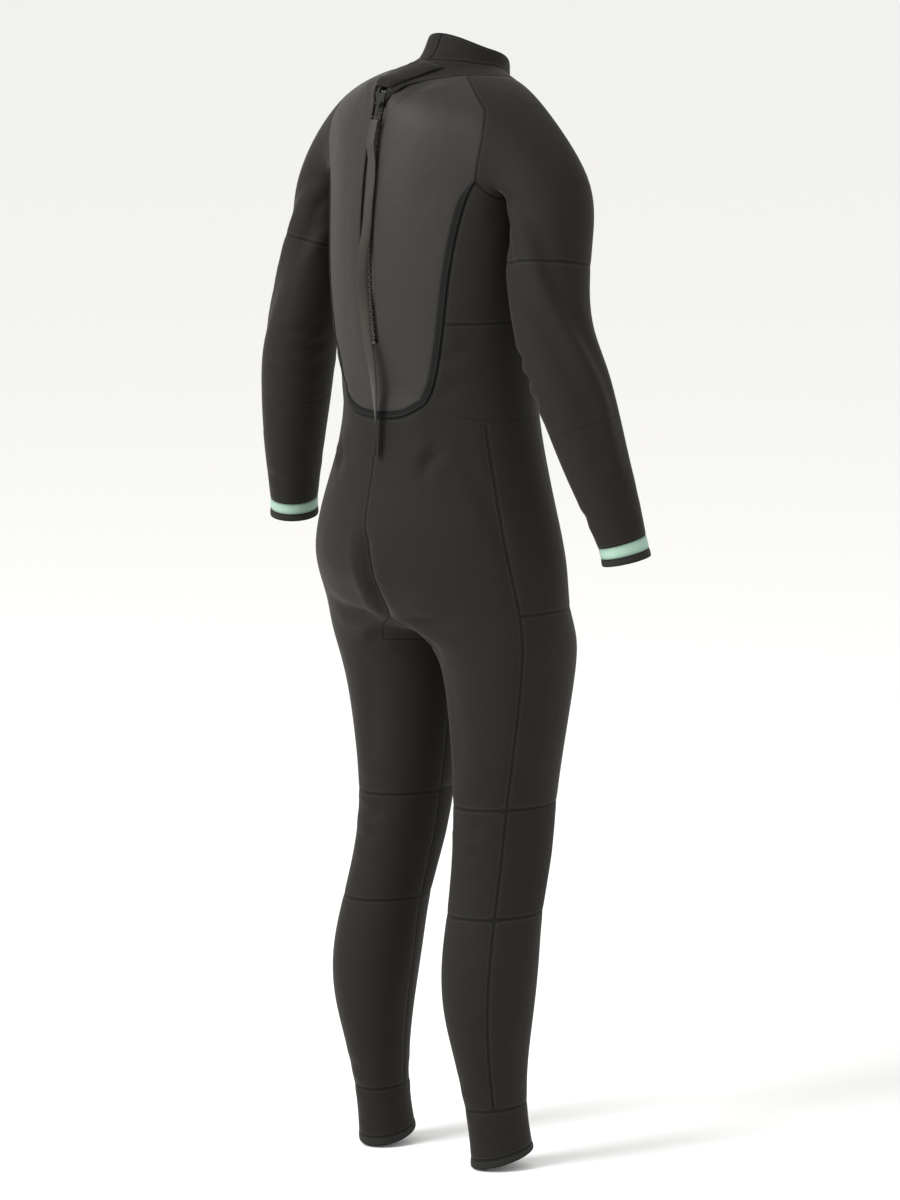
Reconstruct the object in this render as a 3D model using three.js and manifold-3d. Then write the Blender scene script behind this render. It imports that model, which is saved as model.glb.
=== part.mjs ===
import * as THREE from 'three';
import Module from 'manifold-3d';

// Full wetsuit, size M. Millimetres, +Z up, front of the wearer toward -Y, wearer's left toward +X.
// The model is worked out with z = 0 at the back of the ankle hems and then moved so that the middle of
// the neck opening, at the foot of the standing collar, is the origin.

// ---- driving sizes ----
const SUIT_HEIGHT = 1480;      // ankle hem to top of the collar
const CHEST_WIDTH = 336;       // outside, at the armpits
const BODY_DEPTH = 246;        // outside, at the chest
const SLEEVE_LENGTH = 500;     // armpit level to wrist opening
const WALL = 4;                // neoprene sheet with its lining
const SEAM_GAP = 0.36;         // space left between two joined panels
const BINDING_WIDTH = 10;      // black tape round the lower edge of the back panel
const SLOT_WIDTH = 24;         // opening in the back panel where the zip shows
const ZIP_BOTTOM_Z = 1088;     // height of the lower end of the teeth
const ZIP_TOP_Z = 1408;        // height of the upper end of the teeth
const ZIP_PEAK_Y = 131;        // how far back the zip line reaches
const ZIP_PEAK_Z = 1205;       // height where it reaches that
const ZIP_RADIUS = 700;        // the zip lies on one true arc of this radius
const TAPE_THICK = 1.2;
const TAPE_WIDTH = 20;
const TOOTH_PITCH = 8;         // one block of the row stands for two 4 mm teeth
const TOOTH_REACH = 3.4;       // across the zip, each side
const TOOTH_HEIGHT = 2.4;
const SLIDER_LENGTH = 17;
const SLIDER_WIDTH = 12.4;
const PULL_LENGTH = 26;
const PULL_WIDTH = 9;
const LEASH_LENGTH = 443;
const LEASH_WIDTH = 13;
const LEASH_THICK = 1.3;
const FLAP_THICK = 3;

const D = Math.PI / 180;
const ZS = SUIT_HEIGHT / 1480, XS = CHEST_WIDTH / 336, YS = BODY_DEPTH / 246, AS = SLEEVE_LENGTH / 500;
const KT = 6 / (4 + 2 * Math.cos(22.5 * D)), KL = 6 / (4 + 2 * Math.cos(30 * D));

// ---- stations of the body shape ----
// leg: height, centre x, centre y, half across, half fore-and-aft, toe-out turn, slope of the ring
const LEG = [
  [3, 106, -14, 37, 44, 15, 0.28], [22, 106, -11, 34, 41, 15, 0.22], [72, 105, -3, 33, 42, 15, 0.10],
  [135, 105, 6, 41, 50, 15, 0], [200, 105, 12, 53, 63, 14, 0], [265, 103, 7, 58, 68, 13, 0],
  [330, 99, -6, 53, 66, 11, 0], [400, 93, -28, 52, 73, 9, 0], [470, 89, -36, 55, 74, 7, 0],
  [550, 91, -40, 66, 80, 5, 0], [630, 93, -42, 77, 90, 3, 0], [690, 96, -33, 89, 100, 0, 0],
];
// body: height at front, side, back; half width; depth to the front, to the back; centre y
const BODY = [
  [725, 735, 722, 190, 118, 112, -18], [790, 795, 785, 192, 120, 155, -14], [860, 860, 860, 172, 118, 146, -11],
  [925, 925, 925, 153, 112, 128, -11], [985, 985, 985, 141, 108, 120, -9], [1050, 1050, 1050, 143, 108, 122, -4],
  [1110, 1110, 1110, 148, 112, 126, 1], [1200, 1200, 1200, 150, 118, 129, 2], [1290, 1290, 1308, 152, 112, 128, -4],
  [1330, 1354, 1354, 160, 86, 138, -19], [1360, 1408, 1394, 148, 62, 138, -29], [1378, 1426, 1422, 106, 48, 132, -40],
  [1388, 1434, 1444, 58, 56, 58, -54], [1420, 1455, 1480, 54, 54, 52, -60],
];
// sleeve: centre x, y, height; half in-and-out, half fore-and-aft
const ARM = [
  [197, -20, 1290, 46, 61], [202, -7, 1225, 43, 58], [209, 6, 1160, 43, 55], [226, 13, 1100, 43, 53],
  [247, 8, 1050, 46, 54], [262, -2, 990, 45, 50], [276, -12, 935, 40, 45], [288, -23, 890, 35, 40],
  [296, -31, 855, 31, 35], [300, -35, 835, 30, 33], [303, -38, 815, 31.5, 34.5],
];
const FULL = { 9: 1.05, 10: 1.2, 11: 1.12 };  // the sleeve is cut fuller toward the shoulder blade, by column
const HOLE = 8;                 // the armhole is two rows high from this body row, columns 2 to 6
const ORIGIN = [0, -56 * YS, 1436 * ZS];

const add = (a, b) => [a[0] + b[0], a[1] + b[1], a[2] + b[2]];
const sub = (a, b) => [a[0] - b[0], a[1] - b[1], a[2] - b[2]];
const mul = (a, k) => [a[0] * k, a[1] * k, a[2] * k];
const dot = (a, b) => a[0] * b[0] + a[1] * b[1] + a[2] * b[2];
const cross = (a, b) => [a[1] * b[2] - a[2] * b[1], a[2] * b[0] - a[0] * b[2], a[0] * b[1] - a[1] * b[0]];
const unit = (a) => mul(a, 1 / (Math.hypot(...a) || 1));
const mid = (...p) => mul(p.reduce(add), 1 / p.length);

// ---- the cage: one closed skin with two leg ends, two sleeve ends and the neck open ----
// how far, in degrees, columns 6 and 7 move round the body: in at the small of the back, where the back
// panel is narrowest, and out over the shoulder blade, where the raglan seam runs
const SHIFT = { 2: [2, 1], 3: [9, 5], 4: [18, 9], 5: [8, 5], 6: [2, 1], 7: [-3, -1], 8: [-15, -6], 9: [-13, -6], 10: [-14, -6], 11: [-11, -5] };
const LIFT = { 4: { 6: 20, 7: 3 }, 8: { 6: 20, 7: 6 } };   // rounds the back panel's lower corners; raises its side points
const CLIMB = { 4: 0.5, 5: 0.62, 6: 0.66, 7: 0.42, 8: 0 };     // how far the yoke's lower edge climbs toward the collar
function bodyPoint(row, c) {
  const t = row === BODY[11] ? CLIMB[c] || 0 : 0;
  return t ? add(mul(ringPoint(row, c), 1 - t), mul(ringPoint(BODY[12], c), t)) : ringPoint(row, c);
}
function ringPoint(row, c) {
  const [zf, zs, zb, w, f, b, cy] = row, at6 = c === 6 || c === 7, r = BODY.indexOf(row);
  const turn = (c * 22.5 + (at6 ? (SHIFT[r] || [0, 0])[c - 6] : 0)) * D;
  const lift = at6 && LIFT[r] ? LIFT[r][c] : 0;
  const s = Math.sin(turn), k = Math.cos(turn);
  return [c === 0 || c === 8 ? 0 : w * s * KT * XS, (cy - (k > 0 ? f : b) * k * KT) * YS,
    (zs + (zf - zs) * Math.max(0, k) ** 1.5 + (zb - zs) * Math.max(0, -k) ** 1.5 + lift) * ZS];
}
function legPoint(row, c) {
  const [z, cx, cy, a, b, turn, slope] = row;
  const al = (c - 1) * 30 * D, th = turn * D;
  const u = a * Math.sin(al) * KL * XS, v = -b * Math.cos(al) * KL * YS;
  return [cx * XS + u * Math.cos(th) - v * Math.sin(th), cy * YS + u * Math.sin(th) + v * Math.cos(th),
    z * ZS - v * slope];
}
function armCentre(j) {
  const [x, y, z] = ARM[j];
  return [x * XS, y * YS, 1290 * ZS - (1290 - z) * AS];
}
function armFrame(j) {
  const n = ARM.length - 1;
  const t = j === 0 ? unit([0.45, 0, -1]) : unit(sub(armCentre(Math.min(j + 1, n)), armCentre(j - 1)));
  const inner = unit(sub([-1, 0, 0], mul(t, -t[0])));
  let front = cross(t, inner);
  if (front[1] > 0) front = mul(front, -1);
  return { t, inner, front };
}
function makeCage() {
  const v = [], f = [], tag = [], ids = new Map();
  const put = (key, p) => { if (!ids.has(key)) { ids.set(key, v.length); v.push(p); } return ids.get(key); };
  for (const side of [1, -1]) {
    const P = (p) => [p[0] * side, p[1], p[2]];
    const face = (ids, k, q) => {
      f.push(side > 0 ? ids : ids.slice().reverse());
      tag.push({ k, side, q: side > 0 ? q : q.slice().reverse() });
    };
    const cell = (r, c) => [[r, c], [r, c + 1], [r + 1, c + 1], [r + 1, c]];
    const inHole = (r, c) => r === HOLE + 1 && c > 2 && c < 6;
    const tid = (r, c) => put(`T${r}.${c}.${c === 0 || c === 8 ? 0 : side}`, P(bodyPoint(BODY[r], c)));
    const f0 = bodyPoint(BODY[0], 0), b0 = bodyPoint(BODY[0], 8);
    const crotch = [0.75, 0.5, 0.25].map((u, i) => {
      const p = add(mul(f0, 1 - u), mul(b0, u));
      return put(`X${i}`, [0, p[1], p[2] - [22, 30, 18][i]]);
    });
    const rows = LEG.map((row, r) => [...Array(12).keys()].map((c) => put(`L${r}.${c}.${side}`, P(legPoint(row, c)))));
    rows.push([...Array(9).keys()].map((c) => tid(0, c)).concat(crotch));
    for (let r = 0; r < rows.length - 1; r++) for (let c = 0; c < 12; c++) {
      const d = (c + 1) % 12;
      face([rows[r][c], rows[r][d], rows[r + 1][d], rows[r + 1][c]], 'L', cell(r, c));
    }
    for (let r = 0; r < BODY.length - 1; r++) for (let c = 0; c < 8; c++) {
      if ((r === HOLE || r === HOLE + 1) && c >= 2 && c < 6) continue;
      face([tid(r, c), tid(r, c + 1), tid(r + 1, c + 1), tid(r + 1, c)], 'T', cell(r, c));
    }
    const R = HOLE;
    const loop = [[R, 4], [R, 3], [R, 2], [R + 1, 2], [R + 2, 2], [R + 2, 3], [R + 2, 4], [R + 2, 5], [R + 2, 6],
      [R + 1, 6], [R, 6], [R, 5]].filter((q) => !inHole(...q));
    const rings = [loop.map((q) => tid(...q))];
    ARM.forEach(([, , , a, b], j) => {
      const { inner, front } = armFrame(j), o = armCentre(j);
      rings.push([...Array(12).keys()].map((k) => {
        const ph = k * 30 * D, full = 1 + ((FULL[k] || 1) - 1) * Math.max(0, 1 - Math.max(0, j - 2) / 3);
        return put(`A${j}.${k}.${side}`, P(add(o, mul(add(mul(inner, a * Math.cos(ph) * KL * XS),
          mul(front, b * Math.sin(ph) * KL * YS)), full))));
      }));
    });
    for (let j = 0; j < rings.length - 1; j++) for (let k = 0; k < 12; k++) {
      const d = (k + 1) % 12;
      face([rings[j][k], rings[j + 1][k], rings[j + 1][d], rings[j][d]], 'A', [[j, k], [j + 1, k], [j + 1, k + 1], [j, k + 1]]);
    }
  }
  return { v, f, tag };
}

// ---- one Catmull-Clark step; every face keeps the row and column of its parent, doubled ----
function refine({ v, f, tag }) {
  const nv = v.length, nf = f.length, key = (a, b) => (a < b ? a * 100000 + b : b * 100000 + a);
  const fp = f.map((q) => mid(...q.map((i) => v[i])));
  const edge = new Map(), list = [];
  f.forEach((q, i) => q.forEach((a, k) => {
    const b = q[(k + 1) % 4], id = key(a, b);
    if (!edge.has(id)) { edge.set(id, list.length); list.push({ a, b, f: [] }); }
    list[edge.get(id)].f.push(i);
  }));
  const F = v.map(() => [0, 0, 0]), nF = v.map(() => 0), E = v.map(() => [0, 0, 0]), B = v.map(() => []);
  f.forEach((q, i) => q.forEach((a) => { F[a] = add(F[a], fp[i]); nF[a]++; }));
  const ep = list.map((e) => {
    const m = mid(v[e.a], v[e.b]);
    for (const q of [e.a, e.b]) { E[q] = add(E[q], m); if (e.f.length === 1) B[q].push(m); }
    return e.f.length === 1 ? m : mid(v[e.a], v[e.b], fp[e.f[0]], fp[e.f[1]]);
  });
  const moved = v.map((p, i) => {
    if (B[i].length) return mul(add(mul(p, 2), add(B[i][0], B[i][1])), 0.25);
    const n = nF[i];
    return mul(add(add(mul(F[i], 1 / n), mul(E[i], 2 / n)), mul(p, n - 3)), 1 / n);
  });
  const out = moved.concat(fp, ep), nf2 = [], nt = [];
  f.forEach((q, i) => q.forEach((a, k) => {
    const e1 = nv + nf + edge.get(key(a, q[(k + 1) % 4])), e0 = nv + nf + edge.get(key(a, q[(k + 3) % 4]));
    nf2.push([a, e1, nv + i, e0]);
    const t = tag[i], g = t.q, sum = (m, n) => [m[0] + n[0], m[1] + n[1]];
    nt.push({ k: t.k, side: t.side, q: [sum(g[k], g[k]), sum(g[k], g[(k + 1) % 4]),
      [0, 1].map((x) => (g[0][x] + g[1][x] + g[2][x] + g[3][x]) / 2), sum(g[k], g[(k + 3) % 4])] });
  }));
  return { v: out, f: nf2, tag: nt };
}
const skin = refine(makeCage());
const grid = new Map();
skin.tag.forEach((t, i) => {
  t.r = Math.min(...t.q.map((g) => g[0]));
  t.c = Math.min(...t.q.map((g) => g[1]));
  t.q.forEach((g, k) => grid.set(`${t.k}${t.side}:${g[0]},${g[1]}`, skin.f[i][k]));
});
const at = (k, side, r, c) => grid.get(`${k}${side}:${r},${c}`);

// ---- the centre of the back is laid on the zip's arc, fading out to the sides ----
const ZR = ZIP_RADIUS, ZT = ZIP_TOP_Z * ZS, ZB = ZIP_BOTTOM_Z * ZS, ARC = [0, ZIP_PEAK_Y * YS - ZR, ZIP_PEAK_Z * ZS];
const smooth = (a, b, x) => { const t = Math.min(1, Math.max(0, (x - a) / (b - a))); return t * t * (3 - 2 * t); };
const arcY = (z) => ARC[1] + Math.sqrt(Math.max(1, ZR * ZR - (z - ARC[2]) ** 2));
const centreBack = skin.v.filter((p) => Math.abs(p[0]) < 0.01 && p[1] > 60 * YS && p[2] > 900 * ZS && p[2] < 1460 * ZS)
  .sort((a, b) => a[2] - b[2]).map((p) => [p[1], p[2]]);
const centreY = (z) => {
  let i = 0;
  while (i < centreBack.length - 2 && centreBack[i + 1][1] < z) i++;
  const [a, b] = [centreBack[i], centreBack[i + 1]];
  return a[0] + (b[0] - a[0]) * (z - a[1]) / (b[1] - a[1]);
};
skin.v = skin.v.map((p) => {
  if (p[1] < 40 * YS || p[2] < 960 * ZS || p[2] > 1432 * ZS) return p;
  const w = smooth(990 * ZS, ZB - 20 * ZS, p[2]) * (1 - smooth(ZT + 8 * ZS, ZT + 18 * ZS, p[2])) * (1 - smooth(24, 100 * XS, Math.abs(p[0])));
  return [p[0], p[1] + w * (arcY(p[2]) - centreY(p[2])), p[2]];
});

// normals of the whole skin, so neighbouring panels share their edges exactly
const skinN = skin.v.map(() => [0, 0, 0]);
for (const q of skin.f) {
  const n = cross(sub(skin.v[q[2]], skin.v[q[0]]), sub(skin.v[q[3]], skin.v[q[1]]));
  for (const i of q) skinN[i] = add(skinN[i], n);
}
skinN.forEach((n, i) => { skinN[i] = unit(n); });

// ---- turning faces of the skin into closed panels ----
const suit = new THREE.Group();
suit.name = 'full_wetsuit';
const openEdge = new Map();                       // skin vertex at an open end -> axis of that end
{
  const count = new Map();
  skin.f.forEach((q) => q.forEach((a, k) => {
    const b = q[(k + 1) % 4];
    count.set(Math.min(a, b) * 1e5 + Math.max(a, b), (count.get(Math.min(a, b) * 1e5 + Math.max(a, b)) || 0) + 1);
  }));
  for (const [id, n] of count) if (n === 1) for (const v of [Math.floor(id / 1e5), id % 1e5]) openEdge.set(v, null);
}
for (const side of [1, -1]) {
  const ring = (k, r) => [0, 6, 12, 18].map((c) => skin.v[at(k, side, r, c)]);
  const leg = ring('L', 0), wrist = ring('A', ARM.length * 2);
  const axis = (p) => unit(cross(sub(p[2], p[0]), sub(p[3], p[1])));
  for (let c = 0; c < 24; c++) {
    openEdge.set(at('L', side, 0, c), axis(leg));
    openEdge.set(at('A', side, ARM.length * 2, c), axis(wrist));
  }
}
function meshFrom(name, colour, rough, tris, metal = 0) {
  let vol = 0;
  for (const [a, b, c] of tris) vol += dot(a, cross(b, c));
  const pos = [];
  for (const t of tris) for (const p of vol < 0 ? [t[0], t[2], t[1]] : t) pos.push(...sub(p, ORIGIN));
  const g = new THREE.BufferGeometry();
  g.setAttribute('position', new THREE.Float32BufferAttribute(pos, 3));
  g.computeVertexNormals();
  const m = new THREE.Mesh(g, new THREE.MeshStandardMaterial({ color: colour, roughness: rough, metalness: metal }));
  m.name = name;
  suit.add(m);
  return m;
}
const fan = (poly) => poly.slice(2).map((p, i) => [poly[0], poly[i + 1], p]);
const shorter = ([a, b, c, d]) => (Math.hypot(...sub(a, c)) <= Math.hypot(...sub(b, d)) ? [[a, b, c], [a, c, d]] : [[b, c, d], [b, d, a]]);

// both panels at a seam split the little wall between them along the same diagonal
const wallTris = (A, B) => (A.id < B.id ? [[B.out, A.out, B.in], [A.out, A.in, B.in]] : [[B.out, A.out, A.in], [B.out, A.in, B.in]]);

// polys: loops of skin corner ids; an id may be written {id, x} where an edge is moved to that x
function panelTris(polys, inset, wall = WALL, drop = 0) {
  const key = (q) => (typeof q === 'number' ? `${q}` : `${q.id}/${q.x}`);
  const pt = new Map(), edges = new Map();
  for (const poly of polys) poly.forEach((q, k) => {
    if (!pt.has(key(q))) {
      const id = typeof q === 'number' ? q : q.id, p = skin.v[id].slice();
      if (typeof q !== 'number') p[0] = q.x;
      let n = skinN[id];
      const ax = openEdge.get(id);
      if (ax) n = unit(sub(n, mul(ax, dot(n, ax))));
      pt.set(key(q), { id, p, n, m: [], fixed: typeof q !== 'number' });
    }
    const e = [key(q), key(poly[(k + 1) % poly.length])];
    if (edges.has(e[1] + '|' + e[0])) edges.delete(e[1] + '|' + e[0]); else edges.set(e.join('|'), e);
  });
  for (const [a, b] of edges.values()) {
    const A = pt.get(a), B = pt.get(b);
    if (A.fixed && B.fixed) continue;
    if (openEdge.has(A.id) && openEdge.has(B.id)) continue;
    const along = unit(sub(B.p, A.p));
    for (const V of [A, B]) V.m.push(unit(cross(V.n, along)));
  }
  for (const V of pt.values()) {
    let d = [0, 0, 0];
    if (V.m.length) {
      const s = V.m.reduce(add), k = V.m.length > 1 ? 1 + dot(V.m[0], V.m[V.m.length - 1]) : 1;
      d = mul(V.m.length > 2 ? unit(s) : s, inset(V.id) / (V.m.length > 2 ? 1 : Math.max(0.5, k)));
      if (openEdge.get(V.id)) d = sub(d, mul(openEdge.get(V.id), dot(d, openEdge.get(V.id))));
      if (V.fixed) d[0] = 0;
    }
    V.out = add(add(V.p, d), mul(V.n, -drop));
    V.in = add(V.out, mul(V.n, -wall));
    V.d = d;
  }
  const tris = [];
  for (const poly of polys) {
    const P = poly.map((q) => pt.get(key(q)));
    const two = P.length === 4 ? shorter : fan;
    for (const t of two(P.map((x) => x.out))) tris.push(t);
    for (const t of two(P.map((x) => x.in))) tris.push([t[0], t[2], t[1]]);
  }
  for (const [a, b] of edges.values()) {
    const A = pt.get(a), B = pt.get(b);
    tris.push(...wallTris(A, B));
  }
  return { tris, pt, edges: [...edges.values()] };
}
const pick = (test) => skin.f.filter((q, i) => test(skin.tag[i]));
const half = SEAM_GAP / 2;
const panel = (name, colour, rough, test, inset = () => half) => meshFrom(name, colour, rough, panelTris(pick(test), inset).tris);
const within = (x, a, b) => x >= a && x < b;

const BLACK = 0x2b2926, BLACK2 = 0x24221f, GREY = 0x4c4a46, MINT = 0x9fbcab;
const frontLeg = (c) => c >= 20 || c < 10;
const inGusset = (t) => t.k === 'L' && t.r >= 22 && t.c >= 16;

// back panel: two rows of columns each side of the middle, with the zip slot cut down it
const SLOT_R = 11, TOP_R = 22, LOW_R = 8, EDGE_C = 12, APEX_R = 16;
const bound = new Map();
for (const side of [1, -1]) {
  for (let r = LOW_R; r <= APEX_R; r++) bound.set(at('T', side, r, EDGE_C), BINDING_WIDTH);
  for (let c = EDGE_C; c <= 16; c++) bound.set(at('T', side, LOW_R, c), BINDING_WIDTH);
  bound.set(at('T', side, APEX_R, EDGE_C), 0.8);
}
const backFaces = [];
skin.f.forEach((q, i) => {
  const t = skin.tag[i];
  if (t.k !== 'T' || t.c < EDGE_C || !within(t.r, LOW_R, TOP_R)) return;
  const x = t.side * SLOT_WIDTH / 2;
  backFaces.push(q.map((id, k) => (t.q[k][1] === 16 && t.q[k][0] >= SLOT_R ? { id, x } : id)));
});
const slotEnd = at('T', 1, SLOT_R, 16);
backFaces.push([{ id: slotEnd, x: SLOT_WIDTH / 2 }, at('T', 1, SLOT_R - 1, 16), { id: slotEnd, x: -SLOT_WIDTH / 2 }]);
meshFrom('back_panel', GREY, 0.55, panelTris(backFaces, (id) => (bound.has(id) ? bound.get(id) + half + SEAM_GAP : half)).tris);

// black binding round the lower edge of the back panel, its own closed strip
{
  const faces = pick((t) => t.k === 'T' && t.c >= EDGE_C && within(t.r, LOW_R, TOP_R));
  const o = panelTris(faces, () => half), n = panelTris(faces, (id) => half + (bound.get(id) ?? 0.8));
  const tris = [];
  const chain = o.edges.filter(([a, b]) => bound.has(o.pt.get(a).id) && bound.has(o.pt.get(b).id));
  const starts = new Set(chain.map((e) => e[0])), ends = new Set(chain.map((e) => e[1]));
  for (const [a, b] of chain) {
    const A = o.pt.get(a), B = o.pt.get(b), C = n.pt.get(a), E = n.pt.get(b);
    tris.push(...shorter([A.out, B.out, E.out, C.out]));
    tris.push(...shorter([A.in, C.in, E.in, B.in]));
    tris.push(...wallTris(A, B), ...wallTris(E, C));
    if (!ends.has(a)) tris.push([A.out, C.out, C.in], [A.out, C.in, A.in]);
    if (!starts.has(b)) tris.push([E.out, B.out, B.in], [E.out, B.in, E.in]);
  }
  meshFrom('back_panel_binding', BLACK2, 0.75, tris);
}

panel('chest_panel', BLACK, 0.8, (t) => t.k === 'T' && t.c < 4 && within(t.r, 8, 22));
panel('abdomen_panel', BLACK, 0.8, (t) => t.k === 'T' && t.c < 10 && t.r < 8);
panel('crotch_gusset', BLACK2, 0.8, inGusset);
for (const [side, s] of [[1, 'left'], [-1, 'right']]) {
  const T = (t) => t.k === 'T' && t.side === side, L = (t) => t.k === 'L' && t.side === side;
  const A = (t) => t.k === 'A' && t.side === side;
  panel(`side_panel_${s}`, BLACK, 0.8, (t) => T(t) && within(t.c, 4, 12) && within(t.r, 12, 16));
  panel(`waist_side_${s}`, BLACK, 0.8, (t) => T(t) && within(t.c, 4, 12) && within(t.r, 8, 12));
  panel(`raglan_shoulder_${s}`, BLACK, 0.8, (t) => (T(t) && within(t.c, 4, 12) && within(t.r, 20, 22)) || (A(t) && t.r < 5));
  panel(`elbow_section_${s}`, BLACK, 0.8, (t) => A(t) && within(t.r, 5, 12));
  panel(`forearm_${s}`, BLACK, 0.8, (t) => A(t) && within(t.r, 12, 19));
  panel(`wrist_band_${s}`, MINT, 0.6, (t) => A(t) && within(t.r, 19, 21));
  panel(`wrist_hem_${s}`, BLACK2, 0.85, (t) => A(t) && t.r === 21);
  panel(`seat_thigh_${s}`, BLACK, 0.8, (t) => (T(t) && t.c >= 10 && t.r < 8) || (L(t) && !frontLeg(t.c) && t.r >= 16 && !inGusset(t)));
  panel(`front_thigh_${s}`, BLACK, 0.8, (t) => L(t) && frontLeg(t.c) && t.r >= 16 && !inGusset(t));
  panel(`knee_pad_${s}`, BLACK2, 0.9, (t) => L(t) && frontLeg(t.c) && within(t.r, 12, 16));
  panel(`knee_back_${s}`, BLACK, 0.8, (t) => L(t) && !frontLeg(t.c) && within(t.r, 12, 16));
  panel(`shin_${s}`, BLACK, 0.8, (t) => L(t) && frontLeg(t.c) && within(t.r, 4, 12));
  panel(`calf_${s}`, BLACK, 0.8, (t) => L(t) && !frontLeg(t.c) && within(t.r, 4, 12));
  panel(`ankle_cuff_${s}`, BLACK, 0.8, (t) => L(t) && within(t.r, 1, 4));
  panel(`ankle_hem_${s}`, BLACK2, 0.85, (t) => L(t) && t.r === 0);
}

// yoke and standing collar, both open at the middle of the back above the zip
const openBack = (lo, hi) => {
  const out = [];
  skin.f.forEach((q, i) => {
    const t = skin.tag[i];
    if (t.k !== 'T' || !within(t.r, lo, hi)) return;
    out.push(q.map((id, k) => (t.q[k][1] === 16 ? { id, x: t.side * 0.4 } : id)));
  });
  return out;
};
meshFrom('neck_yoke', BLACK2, 0.75, panelTris(openBack(22, 24), () => half).tris);
meshFrom('standing_collar', BLACK2, 0.7, panelTris(openBack(24, 26), () => half).tris);

// ---- zip: strips and blocks laid along its arc; h is the height above the face of the back panel ----
const arcP = (x, s, h) => [x, ARC[1] + (ZR + h) * Math.cos(s / ZR), ARC[2] + (ZR + h) * Math.sin(s / ZR)];
const sB = ZR * Math.asin((ZB - ARC[2]) / ZR), sT = ZR * Math.asin((ZT - ARC[2]) / ZR);
function loft(rings) {
  const tris = [], n = rings[0].length;
  for (let i = 0; i + 1 < rings.length; i++) for (let k = 0; k < n; k++) {
    const l = (k + 1) % n;
    tris.push([rings[i][k], rings[i][l], rings[i + 1][l]], [rings[i][k], rings[i + 1][l], rings[i + 1][k]]);
  }
  tris.push(...fan(rings[0]).map((t) => [t[0], t[2], t[1]]), ...fan(rings[rings.length - 1]));
  return tris;
}
// tape and guard follow the underside of the back panel, which falls away from the zip line
function under(xs, top, thick, side, r0, r1, endB = 0, endT = 0) {
  const rings = [];
  for (let r = r0; r <= r1; r++) {
    const c = skin.v[at('T', 1, r, 16)], w = skin.v[at('T', 1, r, 15)], n = skinN[at('T', 1, r, 16)];
    const n2 = skinN[at('T', 1, r, 15)];
    const p = (x, h) => {
      const ax = Math.abs(x), t = Math.max(0, (ax - SLOT_WIDTH / 2) / (w[0] - SLOT_WIDTH / 2));
      const nn = unit(add(mul(n, 1 - t), mul(n2, t)));
      const base = [ax, c[1] + (w[1] - c[1]) * t, c[2] + (w[2] - c[2]) * t];
      const q = add(base, mul(nn, h));
      return [Math.sign(x) * q[0], q[1], q[2]];
    };
    rings.push(xs.map((x) => p(x, -top)).concat(xs.slice().reverse().map((x) => p(x, -top - thick))));
  }
  // the ends stop short of the slot's ends by a part of one row
  const part = (a, b, k) => a.map((q, i) => add(mul(q, 1 - k), mul(b[i], k)));
  const m = rings.length - 1;
  [rings[0], rings[m]] = [part(rings[0], rings[1], endB), part(rings[m], rings[m - 1], endT)];
  return loft(side > 0 ? rings : rings.map((g) => g.map((q) => [-q[0], q[1], q[2]])));
}
const tapeTop = WALL + 0.8, toothLow = -(WALL + 0.15), x0 = 0.4, x1 = x0 + TOOTH_REACH;
for (const [side, s] of [[1, 'left'], [-1, 'right']]) {
  meshFrom(`zip_tape_${s}`, 0x1d1c1a, 0.9, under([0.5, SLOT_WIDTH / 2, TAPE_WIDTH], tapeTop, TAPE_THICK, side, SLOT_R, 22, 0.1, 0.6));
  // one moulded row: the teeth stand on a low bead, so the row is one piece
  const n = Math.max(2, Math.round((sT - sB) / TOOTH_PITCH)), pitch = (sT - sB) / n, prof = [];
  for (let i = 0; i < n; i++) {
    const a = sB + i * pitch, f = pitch * 0.25;
    prof.push([a, 0.35], [a + f * 0.6, 1], [a + f * 2.4, 1], [a + f * 3, 0.35]);
  }
  prof.push([sT, 0.35]);
  const rings = prof.map(([a, k]) => {
    const hi = toothLow + TOOTH_HEIGHT * k;
    return [arcP(side * x0, a, toothLow), arcP(side * x1, a, toothLow), arcP(side * x1, a, hi), arcP(side * x0, a, hi)];
  });
  meshFrom(`zip_teeth_${s}`, 0x161514, 0.45, loft(rings));
  const stop = (a, b, h) => [a, b].map((u) => [arcP(side * x0, u, toothLow), arcP(side * x1, u, toothLow), arcP(side * x1, u, h), arcP(side * x0, u, h)]);
  meshFrom(`zip_top_stop_${s}`, 0x161514, 0.4, loft(stop(sT + 0.5, sT + 3.5, toothLow + TOOTH_HEIGHT)));
}
meshFrom('zip_bottom_stop', 0x161514, 0.4, loft([sB - 5, sB - 0.5].map((u) => [arcP(-x1 - 0.4, u, toothLow),
  arcP(x1 + 0.4, u, toothLow), arcP(x1 + 0.4, u, toothLow + TOOTH_HEIGHT), arcP(-x1 - 0.4, u, toothLow + TOOTH_HEIGHT)])));
meshFrom('zip_guard', BLACK2, 0.8, under([-TAPE_WIDTH - 6, -SLOT_WIDTH / 2, SLOT_WIDTH / 2, TAPE_WIDTH + 6], tapeTop + TAPE_THICK + 1.0, 1.6, 1, SLOT_R, 22, 0.04, 0.55));

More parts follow.
